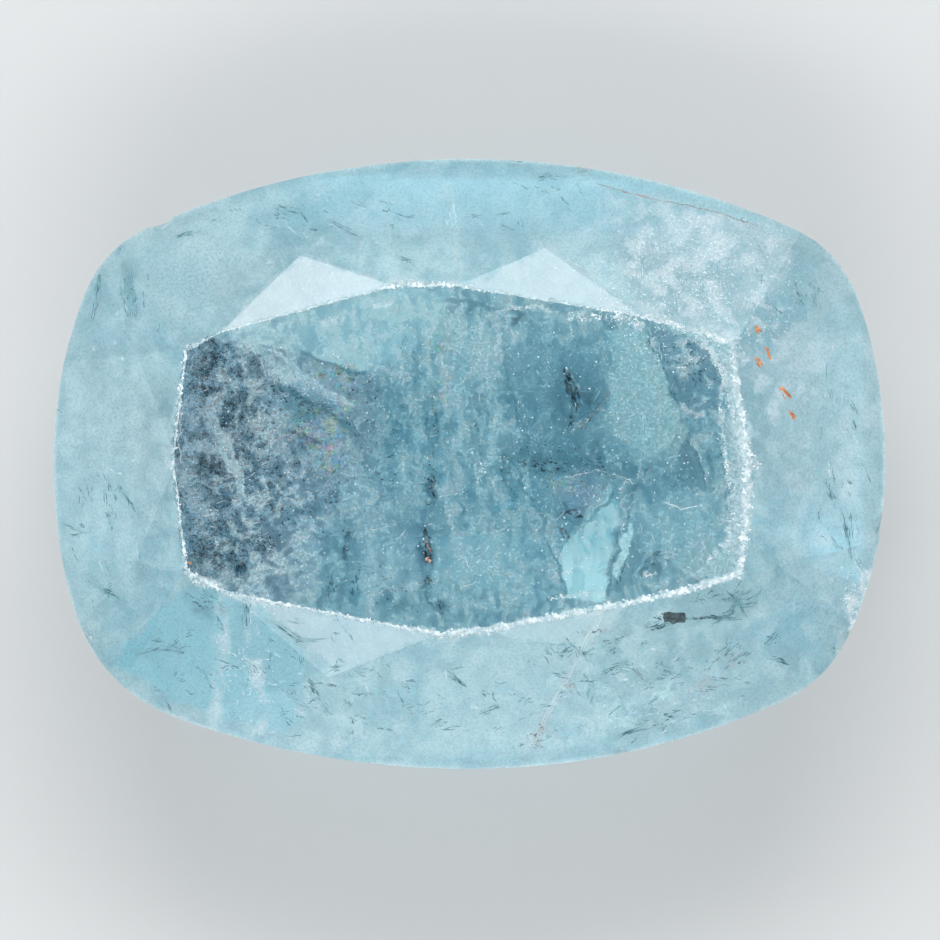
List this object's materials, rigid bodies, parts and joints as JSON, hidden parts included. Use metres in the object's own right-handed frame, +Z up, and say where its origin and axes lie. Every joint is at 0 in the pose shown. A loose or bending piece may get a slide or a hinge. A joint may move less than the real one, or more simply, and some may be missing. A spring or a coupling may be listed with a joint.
{
  "type": "cut aquamarine gemstone",
  "caption": "Faceted cushion-cut aquamarine with a brilliant crown, worn table edge, stepped pavilion and flat culet; a loose cut stone to set or display.",
  "frame": {"origin": "middle of the stone's outline, at the height of the flat culet", "axes": "+X along the stone's length, +Y across its width, +Z up out of the table"},
  "size_m": [0.016, 0.0118, 0.0064],
  "materials": {
    "aquamarine": "polished table with hazy, lightly scratched crown facets and a crumbled white table edge"
  },
  "bodies": {
    "root": {"aquamarine": "aquamarine"}
  },
  "joints": []
}
